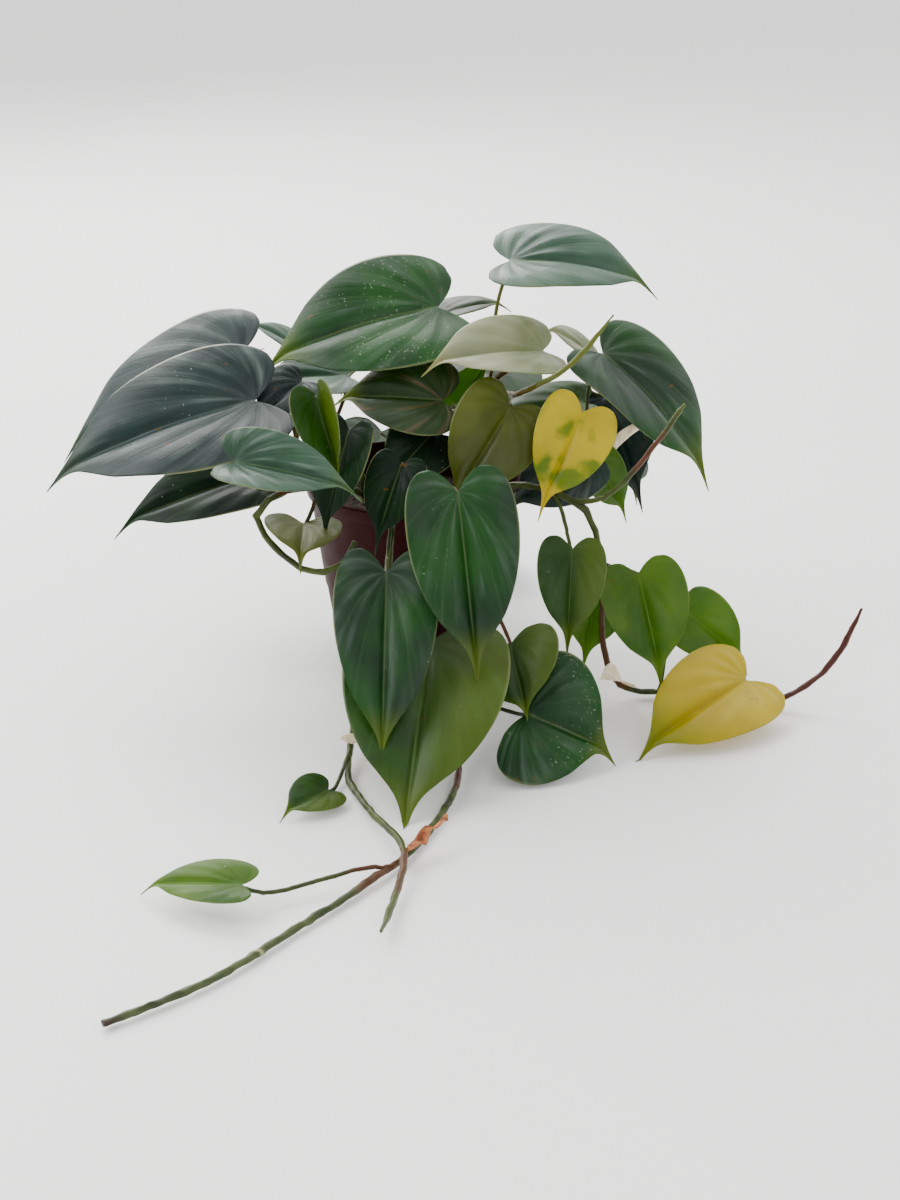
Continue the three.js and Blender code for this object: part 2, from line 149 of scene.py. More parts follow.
lip_foot = pot_height - lip_depth
step = 0.050
profile = [
    (base_radius - 0.0006, 0.0002), (base_radius, 0.0010), (wall_radius(step) - 0.0007, step),
    (wall_radius(step) - 0.0002, step + 0.0004), (wall_radius(step), step + 0.0010),
    (wall_radius(lip_foot) - lip - 0.0004, lip_foot - 0.0006),
    (wall_radius(lip_foot) - lip, lip_foot), (wall_radius(lip_foot) - 0.0006, lip_foot + 0.0004),
    (wall_radius(lip_foot), lip_foot + 0.0012), (rim_radius - 0.0001, pot_height - 0.0012),
    (rim_radius - 0.0005, pot_height - 0.0003), (rim_radius - 0.0012, pot_height),
    (rim_radius - lip - wall + 0.0006, pot_height), (rim_radius - lip - wall, pot_height - 0.0008),
    (wall_radius(lip_foot) - lip - wall, lip_foot), (wall_radius(0.002) - lip - wall, 0.002),
]
radius, height = base_radius - 0.0012, 0.0
bpy.ops.mesh.primitive_circle_add(vertices=160, radius=radius, fill_type="NGON")
pot = bpy.context.object
bpy.ops.object.mode_set(mode="EDIT")
bpy.ops.mesh.select_all(action="SELECT")
for next_radius, next_height in profile:
    bpy.ops.mesh.extrude_region_move(TRANSFORM_OT_translate={"value": (0, 0, next_height - height)})
    grow = next_radius / radius
    bpy.ops.transform.resize(value=(grow, grow, 1), center_override=(0, 0, 0))
    radius, height = next_radius, next_height
bpy.ops.mesh.select_all(action="SELECT")
bpy.ops.mesh.normals_make_consistent(inside=False)
bpy.ops.object.mode_set(mode="OBJECT")
for i in range(hole_count):
    angle = (i + 0.5) * 2 * math.pi / hole_count
    bpy.ops.mesh.primitive_cylinder_add(vertices=32, radius=hole_radius, depth=0.006, location=(
        hole_ring * math.cos(angle), hole_ring * math.sin(angle), 0.001))
    drill = bpy.context.object
    hole = pot.modifiers.new("drain_hole", "BOOLEAN")
    hole.operation = "DIFFERENCE"
    hole.object = drill
    bpy.context.view_layer.objects.active = pot
    bpy.ops.object.modifier_apply(modifier=hole.name)
    bpy.data.objects.remove(drill)
bpy.ops.object.select_all(action="DESELECT")
pot.select_set(True)
bpy.context.view_layer.objects.active = pot
bpy.ops.object.shade_smooth_by_angle(angle=math.radians(35))

polypropylene, tree, shader = new_material("maroon_polypropylene")
cloudy = ramp(tree, noise_at(tree, 12, 2), 0.3, 0.75)
# Painted shade: the maroon is darkened nearly to black to stand for the shade the pot sits in under the
# leaves; the plastic itself is a lighter brick maroon.
maroon = blend(tree, cloudy, "#2a0303", "#210202")
up = add(tree, "SeparateXYZ", {"Vector": add(tree, "TexCoord").outputs["Object"]}).outputs["Z"]
splash_height = 0.030
near_base = ramp(tree, up, splash_height, 0.0)
splashed = maths(tree, "MULTIPLY", near_base, ramp(tree, noise_at(tree, 160, 5), 0.45, 0.6))
soiled = blend(tree, maths(tree, "MULTIPLY", splashed, 0.3), maroon, "#33201a")
tree.links.new(soiled, shader.inputs["Base Color"])
tree.links.new(ramp(tree, noise_at(tree, 90, 3), 0.3, 0.7, 0.50, 0.58), shader.inputs["Roughness"])
shader.inputs["IOR"].default_value = 1.49
shader.inputs["Specular IOR Level"].default_value = 0.06
drawn_rings = maths(tree, "SINE", maths(tree, "MULTIPLY", up, 3900))
grain = maths(tree, "ADD", maths(tree, "MULTIPLY", drawn_rings, 0.12), noise_at(tree, 1500, 2))
bump(tree, shader, grain, 0.00006)
pot.data.materials.append(polypropylene)
finish_piece(pot, "pot_shell", "nursery_pot")


# ---- Potting soil ----
# Moist peat mix with crumbs and bits of bark, pressed flat towards the pot's wall. Its shell
# follows the pot, its crust is rough.
_, soil_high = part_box("potting_soil")
soil_reach = wall_radius(soil_high.z - 0.004) - lip - wall - 0.0004
crumb_count = 240


def pressed(share):
    """How far the crust is pressed down, at a share of its reach from the middle."""
    return 0.004 * max(0.0, (share - 0.7) / 0.3)


bpy.ops.mesh.primitive_grid_add(x_subdivisions=120, y_subdivisions=120, size=2)
soil = bpy.context.object
for vertex in soil.data.vertices:
    x, y = vertex.co.x, vertex.co.y
    x, y = x * math.sqrt(1 - y * y / 2), y * math.sqrt(1 - x * x / 2)
    share = math.hypot(x, y)
    spot = Vector((x, y, 0)) * soil_reach
    crown = soil_high.z - 0.0004 - pressed(share)
    crumbs = noise.fractal(spot * 260, 0.8, 2.2, 4) * 0.0009 + noise.noise(spot * 60) * 0.0008
    vertex.co = (spot.x, spot.y, crown - 0.0012 + min(0.0011, crumbs))
bpy.ops.object.mode_set(mode="EDIT")
bpy.ops.mesh.select_all(action="DESELECT")
bpy.ops.mesh.select_mode(type="EDGE")
bpy.ops.mesh.select_non_manifold()
bpy.ops.mesh.extrude_region_move(TRANSFORM_OT_translate={"value": (0, 0, -0.012)})
bpy.ops.transform.resize(value=(0.97, 0.97, 1), center_override=(0, 0, 0))
bpy.ops.mesh.edge_face_add()
bpy.ops.mesh.select_all(action="SELECT")
bpy.ops.mesh.normals_make_consistent(inside=False)
bpy.ops.object.mode_set(mode="OBJECT")
bpy.ops.object.shade_smooth_by_angle(angle=math.radians(60))

random.seed(11)
bits = [soil]
for i in range(crumb_count):
    angle, reach = random.uniform(0, 2 * math.pi), soil_reach * 0.97 * math.sqrt(random.random())
    size = random.uniform(0.0006, 0.0016)
    bpy.ops.mesh.primitive_ico_sphere_add(subdivisions=1, radius=size, location=(
        reach * math.cos(angle), reach * math.sin(angle),
        soil_high.z - 0.0016 - pressed(reach / soil_reach)))
    crumb = bpy.context.object
    crumb.scale = (random.uniform(0.7, 1.8), random.uniform(0.6, 1.1), random.uniform(0.4, 0.8))
    crumb.rotation_euler = (random.uniform(-0.4, 0.4), random.uniform(-0.4, 0.4), random.uniform(0, 6))
    bits.append(crumb)
for piece in bits:
    piece.select_set(True)
bpy.context.view_layer.objects.active = soil
bpy.ops.object.join()
bpy.ops.object.transform_apply(location=True, rotation=True, scale=True)

peat, tree, shader = new_material("peat_mix")
damp = ramp(tree, noise_at(tree, 45, 3), 0.4, 0.65)
dark = blend(tree, damp, "#1d130d", "#38271b")
fibres = ramp(tree, noise_at(tree, 900, 4), 0.56, 0.72)
tree.links.new(blend(tree, fibres, dark, "#6b4e35"), shader.inputs["Base Color"])
shader.inputs["Roughness"].default_value = 0.92
bump(tree, shader, noise_at(tree, 1400, 5), 0.0005)
soil.data.materials.append(peat)
finish_piece(soil, "soil_crust", "potting_soil")


# ---- Vines with their leaf stalks ----
# Herbaceous stems, green-grey and satin, each grown as one piece with its stalks: round, with
# soft swellings where a stalk leaves, going brown on the growing tip of the right-hand vine.
def nodes_named(start):
    """The CAD nodes whose names begin that way, in order."""
    return sorted(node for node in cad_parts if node.startswith(start))


def bare_copy(node):
    """A CAD node's mesh as a new object, its loose triangles joined."""
    piece = bpy.data.objects.new(node + "_copy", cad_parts[node].data.copy())
    bpy.context.scene.collection.objects.link(piece)
    piece.data.materials.clear()
    bpy.ops.object.select_all(action="DESELECT")
    piece.select_set(True)
    bpy.context.view_layer.objects.active = piece
    bpy.ops.object.mode_set(mode="EDIT")
    bpy.ops.mesh.select_all(action="SELECT")
    bpy.ops.mesh.remove_doubles(threshold=0.00001)
    bpy.ops.object.mode_set(mode="OBJECT")
    return piece


def read_mesh(mesh):
    """Positions and normals of a mesh's vertices, a row each."""
    spots, normals = np.empty(len(mesh.vertices) * 3), np.empty(len(mesh.vertices) * 3)
    mesh.vertices.foreach_get("co", spots)
    mesh.vertex_normals.foreach_get("vector", normals)
    return spots.reshape(-1, 3), normals.reshape(-1, 3)


def write_mesh(mesh, spots):
    """Moves a mesh's vertices."""
    mesh.vertices.foreach_set("co", spots.ravel())
    mesh.update()


def apply_modifier(piece, kind, **settings):
    """Puts a modifier on the active piece and applies it."""
    modifier = piece.modifiers.new(kind.lower(), kind)
    for key, value in settings.items():
        setattr(modifier, key, value)
    bpy.ops.object.modifier_apply(modifier=modifier.name)


brown_from, brown_to = 0.170, 0.225
grey_from, grey_to = -0.24, -0.33
cut_from, cut_to = -0.362, -0.370
young_from, young_to = 0.150, 0.215
ring_place = -0.318
ring_height, ring_width = 0.0005, 0.0022

stem, tree, shader = new_material("green_vine_stem")
mottled = ramp(tree, noise_at(tree, 70, 4), 0.35, 0.68)
green = blend(tree, mottled, "#263206", "#424e12")
reddish = ramp(tree, noise_at(tree, 13, 1), 0.54, 0.62)
green = blend(tree, maths(tree, "MULTIPLY", reddish, 0.85), green, "#4f230a")
scurf = ramp(tree, noise_at(tree, 420, 5), 0.60, 0.72)
green = blend(tree, maths(tree, "MULTIPLY", scurf, 0.5), green, "#54391c")
place = add(tree, "SeparateXYZ", {"Vector": add(tree, "TexCoord").outputs["Object"]})
tip_brown = ramp(tree, place.outputs["X"], brown_from, brown_to)
green = blend(tree, tip_brown, green, "#401404")
grey_end = ramp(tree, place.outputs["Y"], grey_from, grey_to)
green = blend(tree, grey_end, green, blend(tree, mottled, "#253010", "#444f28"))
from_ring = maths(tree, "ABSOLUTE", maths(tree, "ADD", place.outputs["Y"], -ring_place))
node_ring = ramp(tree, from_ring, 0.0016, 0.0004)
green = blend(tree, node_ring, green, "#8a8a62")
cut_dark = ramp(tree, place.outputs["Y"], cut_from, cut_to)
green = blend(tree, cut_dark, green, "#2a1c10")
young = ramp(tree, place.outputs["Z"], young_from, young_to)
tree.links.new(blend(tree, young, green, "#525a10"), shader.inputs["Base Color"])
shader.inputs["Roughness"].default_value = 0.42
shader.inputs["Specular IOR Level"].default_value = 0.3
shader.inputs["Subsurface Weight"].default_value = 0.08
shader.inputs["Subsurface Radius"].default_value = (0.002, 0.003, 0.001)
shader.inputs["Subsurface Scale"].default_value = 0.5
bump(tree, shader, noise_at(tree, 700, 3, (1, 1, 0.6)), 0.00018)


def weights(spots, samples, width):
    """Gaussian weights of sample points for each spot, each row adding up to 1."""
    apart = (spots ** 2).sum(1)[:, None] + (samples ** 2).sum(1)[None] - 2 * spots @ samples.T
    share = np.exp(-np.maximum(apart, 0) / width ** 2) + 1e-20
    return share / share.sum(1, keepdims=True)


def relaxed(spots, growing_tip):
    """Rounds a vine's bends without thinning it and tapers its growing tip. The core follows
    the vine inside; near a bend it moves towards the average of a longer stretch. Works in
    millimetres, from a sample of the vertices."""
    sample_count, part_size = 1300, 4000
    near_width, wide_width, core_width, most_shift = 3.0, 9.0, 2.2, 1.9
    taper_length, bluntest = 16, 0.12
    spots = spots.astype(np.float32)
    samples = spots[::max(1, len(spots) // sample_count)] * 1000
    near, wide = weights(samples, samples, near_width), weights(samples, samples, wide_width)
    core = near @ samples
    axis = []
    for row, centre in zip(wide, wide @ samples):
        offset = samples - centre
        axis.append(np.linalg.eigh((offset * row[:, None]).T @ offset)[1][:, 2])
    axis = np.array(axis)
    shift = wide @ core - core
    shift -= axis * (shift * axis).sum(1)[:, None]
    shift *= np.minimum(1, most_shift / np.maximum(np.linalg.norm(shift, axis=1), 1e-9))[:, None]
    moved = []
    for part in np.array_split(spots * 1000, 1 + len(spots) // part_size):
        share = weights(part, samples, core_width)
        centre = share @ core
        new = part + share @ shift
        if growing_tip:
            off = np.linalg.norm(part - np.array(growing_tip) * 1000, axis=1)
            taper = np.clip(off / taper_length, bluntest, 1) ** 0.6
            centre += share @ shift
            side = new - centre
            along = share @ axis
            along /= np.maximum(np.linalg.norm(along, axis=1), 1e-6)[:, None]
            across = side - along * (side * along).sum(1)[:, None]
            new -= across * (1 - taper)[:, None]
        moved.append(new)
    return np.concatenate(moved) / 1000


growing_tips = {"vine_crown": (0.106, -0.048, 0.220), "vine_right_trail": (0.252, -0.068, 0.060),
                "vine_front_shoot": (-0.010, -0.308, 0.008)}
for node in nodes_named("vine_"):
    vine = bare_copy(node)
    tip = None
    if node in growing_tips:
        end = Vector(growing_tips[node])
        tip = min((v.co for v in vine.data.vertices), key=lambda c: (c - end).length).copy()
    vine.data.remesh_voxel_size = 0.0005
    bpy.ops.object.voxel_remesh()
    apply_modifier(vine, "SMOOTH", factor=0.6, iterations=12)
    write_mesh(vine.data, relaxed(read_mesh(vine.data)[0], tip))
    spots, normals = read_mesh(vine.data)
    swell = np.array([0.00024 + 0.00008 * noise.noise(Vector(s) * 110) for s in spots])
    if node == "vine_front":
        swell += ring_height * np.exp(-((spots[:, 1] - ring_place) / ring_width) ** 2)
    write_mesh(vine.data, spots + normals * swell[:, None])
    bpy.ops.object.shade_smooth()
    vine.data.materials.append(stem)
    finish_piece(vine, node.replace("vine", "stem"), node)


# ---- Leaf blades ----
# Thin, waxy, heart-shaped blades with a sunken midrib, arching side veins, a pale hard margin
# and a drawn-out drip tip. The face is glossy, the underside pale and dull, and light comes
# through both.
veins_per_radian = 1.9
short_blade = 0.045
usual_drip = 0.009


def vertex_tree(nodes):
    """A search tree of the vertices of some CAD nodes."""
    spots = [vertex.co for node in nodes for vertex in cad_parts[node].data.vertices]
    found = kdtree.KDTree(len(spots))
    for i, spot in enumerate(spots):
        found.insert(spot, i)
    found.balance()
    return found


stalk_ends = vertex_tree(nodes_named("vine_"))


def face_only(piece):
    """Keeps only the blade's upper face. Returns its seat, tip and the normal at its seat."""
    mesh = piece.data
    valence = np.zeros(len(mesh.vertices), int)
    for edge in mesh.edges:
        valence[list(edge.vertices)] += 1
    first = int(valence.argmax())
    near = [v for v in np.argsort(-valence)[:8] if v != first]
    second = int(min(near, key=lambda v: (mesh.vertices[v].co - mesh.vertices[first].co).length))
    ends = [(stalk_ends.find(mesh.vertices[v].co)[2], v) for v in (first, second)]
    under, seat = (v for _, v in sorted(ends))
    normal = (mesh.vertices[seat].co - mesh.vertices[under].co).normalized()
    around = {}
    for polygon in mesh.polygons:
        for key in polygon.edge_keys:
            around.setdefault(key, []).append(polygon.index)
    upper = {p.index for p in mesh.polygons if seat in p.vertices and p.normal.dot(normal) > 0.3}
    front = list(upper)
    while front:
        here = mesh.polygons[front.pop()]
        for key in here.edge_keys:
            for other in around[key]:
                if other not in upper and mesh.polygons[other].normal.dot(here.normal) > 0.5:
                    upper.add(other)
                    front.append(other)
    seat_at = mesh.vertices[seat].co.copy()
    tip_at = max((v.co for v in mesh.vertices), key=lambda c: (c - seat_at).length).copy()
    bpy.ops.object.mode_set(mode="EDIT")
    bpy.ops.mesh.select_mode(type="FACE")
    bpy.ops.mesh.select_all(action="DESELECT")
    bpy.ops.object.mode_set(mode="OBJECT")
    for polygon in mesh.polygons:
        polygon.select = polygon.index not in upper
    bpy.ops.object.mode_set(mode="EDIT")
    bpy.ops.mesh.delete(type="FACE")
    bpy.ops.mesh.select_all(action="SELECT")
    bpy.ops.mesh.tris_convert_to_quads()
    bpy.ops.object.mode_set(mode="OBJECT")
    return seat_at, tip_at, normal


def leaf_places(piece, seat, tip, normal):
    """Each vertex's share of the length and of the half width, the half width, and the blade's
    directions towards its tip and its left."""
    along = (tip - seat).normalized()
    left = normal.cross(along).normalized()
    co = read_mesh(piece.data)[0] - np.array(seat)
    u = co @ np.array(along) / (tip - seat).length
    lateral = co @ np.array(left)
    half_width = np.abs(lateral).max()
    return u, lateral / half_width, half_width, along, left


def arcs(u, v):
    """Distance from the seat, and the angle of the side vein through each vertex: the veins
    leave the seat like a fan and bend towards the tip."""
    spread = 0.45
    reach = np.hypot(u, spread * v)
    return reach, np.arctan2(spread * np.abs(v), u) / (1 - 0.5 * np.clip(reach, 0, 1))


def refine(piece, seat, tip, normal, thickness, relief=1.0, drip=usual_drip):
    """Domes the blade's halves, presses in its veins, draws out its drip tip and gives it
    thickness."""
    mesh = piece.data
    crease = mesh.attributes.new("crease_vert", "FLOAT", "POINT")
    for i, vertex in enumerate(mesh.vertices):
        near_end = min((vertex.co - seat).length, (vertex.co - tip).length)
        crease.data[i].value = 1.0 if near_end < 0.0012 else 0.0
    levels = 4 if (tip - seat).length > short_blade else 3
    apply_modifier(piece, "SUBSURF", levels=levels, render_levels=levels, boundary_smooth="ALL")
    u, v, half_width, along, left = leaf_places(piece, seat, tip, normal)
    spots, normals = read_mesh(mesh)
    bands, least = 30, 0.05
    station = (u + 0.4) * 20
    band = np.clip(station.astype(int), 0, bands - 1)
    widest = np.array([np.abs(v[band == i]).max() if (band == i).any() else least for i in range(bands)])
    here = np.maximum(np.interp(station - 0.5, range(bands), widest), least)
    side = np.clip(np.abs(v) / here, 0, 1)
    reach, angle = arcs(u, v)
    size = min(1, half_width / 0.03)
    fade = np.clip((1 - u) * 3, 0, 1)
    valley = np.exp(-(v * half_width / 0.0022) ** 2) * np.clip(reach * 8, 0, 1) * fade
    dome = 4 * side * (1 - side) * fade * np.clip(reach * 3, 0, 1)
    between_veins = 0.5 + 0.5 * np.cos(angle * 2 * math.pi * veins_per_radian)
    quilt = between_veins * np.clip(reach * 4, 0, 1) * (1 - side) ** 0.5
    ripple = np.array([noise.noise(Vector(s) * 24) for s in spots]) * side ** 1.5
    moved = 0.0022 * dome - 0.0013 * valley - 0.0007 * quilt * fade + 0.0030 * ripple * fade
    pinch = np.clip((u - 0.70) / 0.28, 0, 1) ** 1.5 * (0.55 if drip else 0)
    beyond = np.clip((u - 0.86) / 0.14, 0, 1) ** 2 * drip * (0.5 + 0.5 * size)
    droop = np.array(along) * 0.6 + np.array((0, 0, -0.9))
    spots += normals * (relief * size * moved)[:, None] + droop * beyond[:, None]
    spots -= np.array(left) * (v * half_width * pinch)[:, None]
    spots[:, 2] = np.maximum(spots[:, 2], 0.0008)
    write_mesh(mesh, spots)
    corners = np.empty(len(mesh.loops), int)
    mesh.loops.foreach_get("vertex_index", corners)
    for name, first, second in (("leaf", u, v), ("arc", angle, reach), ("edge", side, u)):
        layer = mesh.uv_layers.new(name=name)
        layer.data.foreach_set("uv", np.stack([first[corners], second[corners]], 1).ravel())
    apply_modifier(piece, "SOLIDIFY", thickness=thickness, offset=-1, material_offset=1,
                   material_offset_rim=2, use_even_offset=False)
    bpy.ops.object.shade_smooth()


def along_veins(tree, across, along, detail=3):
    """Noise drawn out along the arching side veins."""
    uv = add(tree, "UVMap", uv_map="arc").outputs["UV"]
    mapped = add(tree, "Mapping", {"Vector": uv}, Scale=(across, along, 1)).outputs["Vector"]
    return add(tree, "TexNoise", {"Vector": mapped}, Scale=1.0, Detail=detail).outputs["Fac"]


def leaf_face(name, dark, light, through, value=0.55, vein="#9db07a", rough=0.34, painted_sheen=0.25,
              tip="#7f9428", shine=0.42, painted_light_half=None, patch=None, painted_sheen_streak=None, glow=0.28,
              tip_from=0.72, worn=0.0):
    """A blade's waxy face: two leaf colours, the colour of light coming through it and how much
    does (glow), how light it is (value), its vein colour, its roughness and shine, how much
    painted sheen (a painted whitish reflection) lies between the veins, its tip colour and where
    that starts, how worn it is, and where it has them the colour of one half (painted light on
    the half that catches it), of patches or of painted highlight streaks."""
    material, tree, shader = new_material(name)
    place = add(tree, "SeparateXYZ", {"Vector": add(tree, "UVMap", uv_map="leaf").outputs["UV"]})
    fan = add(tree, "SeparateXYZ", {"Vector": add(tree, "UVMap", uv_map="arc").outputs["UV"]})
    edge = add(tree, "SeparateXYZ", {"Vector": add(tree, "UVMap", uv_map="edge").outputs["UV"]})
    margin = edge.outputs["X"]
    u, v, angle, reach = place.outputs["X"], place.outputs["Y"], fan.outputs["X"], fan.outputs["Y"]
    colour = blend(tree, ramp(tree, noise_at(tree, 26, 3), 0.34, 0.68), dark, light)
    fine = along_veins(tree, 26, 2.2, 4)
    colour = blend(tree, maths(tree, "MULTIPLY", ramp(tree, fine, 0.40, 0.70), 0.2), colour, light)
    # Painted light: one half of the blade is tinted lighter yellow-green, as the half that catches the light
    # looks.
    if painted_light_half:
        colour = blend(tree, maths(tree, "MULTIPLY", ramp(tree, v, -0.15, 0.6), 0.8), colour, painted_light_half)
    # Painted highlight: soft copper-pink streaks along the veins stand for the sheen of light on the wax.
    if painted_sheen_streak:
        gleam = ramp(tree, along_veins(tree, 2.6, 0.9, 2), 0.50, 0.68)
        colour = blend(tree, maths(tree, "MULTIPLY", gleam, 0.6), colour, painted_sheen_streak)
    if patch:
        colour = blend(tree, ramp(tree, noise_at(tree, 50, 3), 0.47, 0.62), colour, patch)
    colour = blend(tree, ramp(tree, u, tip_from, 1.05), colour, tip)
    rays = maths(tree, "COSINE", maths(tree, "MULTIPLY", angle, 2 * math.pi * veins_per_radian))
    ray = maths(tree, "MULTIPLY", ramp(tree, rays, 0.93, 1.0), ramp(tree, reach, 0.02, 0.3))
    middle = ramp(tree, maths(tree, "ABSOLUTE", v), 0.035, 0.008)
    midrib = maths(tree, "MULTIPLY", middle, ramp(tree, u, 1.0, 0.6))
    veins = maths(tree, "MAXIMUM", maths(tree, "MULTIPLY", ray, 0.2), midrib)
    colour = blend(tree, maths(tree, "MULTIPLY", veins, 0.25), colour, vein)
    bands = ramp(tree, along_veins(tree, 4, 1.3, 3), 0.46, 0.72)
    cloud = ramp(tree, noise_at(tree, 34, 2), 0.40, 0.66)
    # Painted sheen: whitish patches in bands along the side veins, a painted reflection of the window light
    # on the wax.
    painted_sheen_mask = maths(tree, "MULTIPLY", maths(tree, "MULTIPLY", bands, cloud), painted_sheen)
    colour = blend(tree, painted_sheen_mask, colour, "#b4c6bc")
    colour = blend(tree, maths(tree, "MULTIPLY", ramp(tree, margin, 0.955, 0.995), 0.6), colour, "#b3bd88")
    flecks = maths(tree, "MULTIPLY", ramp(tree, noise_at(tree, 620, 2), 0.70 - worn, 0.74 - worn),
                   ramp(tree, noise_at(tree, 24, 2), 0.54 - 2 * worn, 0.62 - 2 * worn))
    colour = blend(tree, maths(tree, "MULTIPLY", flecks, 0.55), colour, "#cfd3c4")
    scars = maths(tree, "MULTIPLY", ramp(tree, noise_at(tree, 150, 4), 0.69 - worn, 0.72 - worn),
                  ramp(tree, noise_at(tree, 15, 1), 0.55, 0.62))
    colour = blend(tree, maths(tree, "MULTIPLY", scars, 0.85), colour, "#7a5420")
    colour = add(tree, "HueSaturation", {"Color": colour}, Saturation=1.2, Value=value).outputs["Color"]
    tree.links.new(colour, shader.inputs["Base Color"])
    gloss = ramp(tree, along_veins(tree, 9, 1.6, 3), 0.35, 0.70, rough + 0.12, rough - 0.06)
    tree.links.new(gloss, shader.inputs["Roughness"])
    shader.inputs["IOR"].default_value = 1.45
    shader.inputs["Specular IOR Level"].default_value = shine
    shader.inputs["Coat Weight"].default_value = 0.12
    shader.inputs["Coat Roughness"].default_value = 0.25
    lines = maths(tree, "MULTIPLY", along_veins(tree, 60, 2.5, 2), 0.7)
    cells = maths(tree, "ADD", maths(tree, "MULTIPLY", noise_at(tree, 1700, 2), 0.25), lines)
    bump(tree, shader, maths(tree, "SUBTRACT", cells, maths(tree, "MULTIPLY", veins, 0.6)), 0.00026)
    lit = add(tree, "BsdfTranslucent", {"Color": blend(tree, 0.7, colour, through)})
    both = add(tree, "MixShader", Fac=glow)
    tree.links.new(shader.outputs[0], both.inputs[1])
    tree.links.new(lit.outputs[0], both.inputs[2])
    tree.links.new(both.outputs[0], tree.nodes["Material Output"].inputs["Surface"])
    return material


faces = {
    "deep": leaf_face("waxy_leaf_deep_green", "#12381c", "#2c6028", "#3c7a10"),
    "worn": leaf_face("waxy_leaf_scratched_green", "#14421c", "#2c6626", "#3c7a10", worn=0.045),
    "slate": leaf_face("waxy_leaf_slate", "#142a29", "#27403b", "#2b5a24", vein="#7d9088",
                       tip="#3f5238", painted_sheen=0.34, shine=0.36, glow=0.12),
    "dim": leaf_face("waxy_leaf_shaded", "#0e2214", "#1c3a1e", "#2b5a10", tip="#1c3a1e", painted_sheen=0.04,
                     rough=0.5, shine=0.12, glow=0.10),
    # Painted reflection: lightened grey-green colours and strong painted sheen stand for window glare on
    # these upper leaves.
    "gray": leaf_face("waxy_leaf_painted_gray_glare", "#375a45", "#5f8169", "#5f8a34", tip="#6f8a4a",
                      painted_sheen=0.75, rough=0.30, glow=0.22),
    "olive": leaf_face("waxy_leaf_olive", "#555f10", "#7a8320", "#8a9a10", tip="#7a8320",
                       painted_sheen=0.10, glow=0.34),
    "low": leaf_face("waxy_leaf_yellow_green", "#234a10", "#3a6418", "#6c9c00", value=0.6,
                     painted_light_half="#647e00", painted_sheen=0.15, glow=0.36),
    "yellow": leaf_face("ageing_leaf_yellow", "#c4ae00", "#dcc800", "#f4e000", value=0.74,
                        vein="#7a7008", tip="#3f7008", tip_from=0.40, painted_sheen=0.0, glow=0.45),
    "patchy": leaf_face("ageing_leaf_yellow_green", "#c0ae00", "#dac800", "#f0dc00", value=0.88,
                        patch="#4f7a0c", tip="#c4b00a", painted_sheen=0.0, glow=0.42),
    "bright": leaf_face("fresh_leaf_bright_green", "#356008", "#6a8c0a", "#8cc000", value=0.65,
                        tip="#7c9810", painted_sheen=0.10, glow=0.42),
    # Painted glare: near-white cream-green colours and strong painted sheen stand for window light shining
    # on these leaf tops.
    "pale": leaf_face("leaf_pale_painted_glare", "#8c9a6c", "#cdd0b0", "#c0cc70", tip="#c2b878", rough=0.30,
                      painted_sheen=0.5, glow=0.34),
    # Dark green leaves with painted copper-pink highlight streaks.
    "copper": leaf_face("leaf_painted_copper_sheen", "#1c3510", "#34501c", "#4f7a10", painted_sheen_streak="#a07a62",
                        painted_sheen=0.15, rough=0.30),
}


def plain(name, first, second, rough, through, glow):
    """A dull leaf underside, margin or dry skin: two colours and light coming through."""
    material, tree, shader = new_material(name)
    colour = blend(tree, ramp(tree, noise_at(tree, 140, 4), 0.35, 0.65), first, second)
    tree.links.new(colour, shader.inputs["Base Color"])
    shader.inputs["Roughness"].default_value = rough
    bump(tree, shader, noise_at(tree, 900, 3), 0.00015)
    lit = add(tree, "BsdfTranslucent", Color=linear(through))
    both = add(tree, "MixShader", Fac=glow)
    tree.links.new(shader.outputs[0], both.inputs[1])
    tree.links.new(lit.outputs[0], both.inputs[2])
    tree.links.new(both.outputs[0], tree.nodes["Material Output"].inputs["Surface"])
    return material


undersides = {
    "green": plain("leaf_underside_green", "#3f5c2c", "#5c7840", 0.50, "#4f8a0c", 0.34),
    "slate": plain("leaf_underside_slate", "#3a544a", "#5c746a", 0.50, "#356a24", 0.20),
    "yellow": plain("leaf_underside_yellow", "#a89c1c", "#c8bc3c", 0.50, "#dccc10", 0.42),
    "pale": plain("leaf_underside_pale", "#9aa078", "#c6caa8", 0.50, "#c0c868", 0.35),
}
margins = {
    "green": plain("leaf_margin_pale", "#6a7a42", "#929c5e", 0.5, "#8aa030", 0.30),
    "brown": plain("leaf_margin_brown", "#7a4a26", "#a07a40", 0.5, "#905a1a", 0.20),
}
look_of = {
    "leaf_01": "gray", "leaf_02": "worn", "leaf_03": "copper", "leaf_04": "pale", "leaf_06": "pale",
    "leaf_08": "slate", "leaf_10": "bright", "leaf_14": "olive", "leaf_15": "patchy", "leaf_16": "low",
    "leaf_17": "slate", "leaf_18": "bright", "leaf_19": "slate", "leaf_20": "slate", "leaf_21": "dim",
    "leaf_23": "gray", "leaf_24": "gray", "leaf_25": "slate", "leaf_26": "copper", "leaf_27": "low",
    "leaf_28": "gray", "leaf_29": "dim", "leaf_30": "dim", "leaf_31": "dim", "leaf_36": "low",
    "leaf_37": "olive", "leaf_38": "low", "leaf_39": "bright", "leaf_40": "bright", "leaf_41": "bright",
    "leaf_42": "yellow", "leaf_43": "low", "leaf_44": "worn", "leaf_46": "low", "leaf_47": "bright",
}
under_of = {"slate": "slate", "dim": "slate", "gray": "slate", "yellow": "yellow", "patchy": "yellow",
            "pale": "pale"}
brown_edged = ("leaf_38", "leaf_42", "leaf_47")
short_tips = {"leaf_35": 0.003, "leaf_43": 0.004}
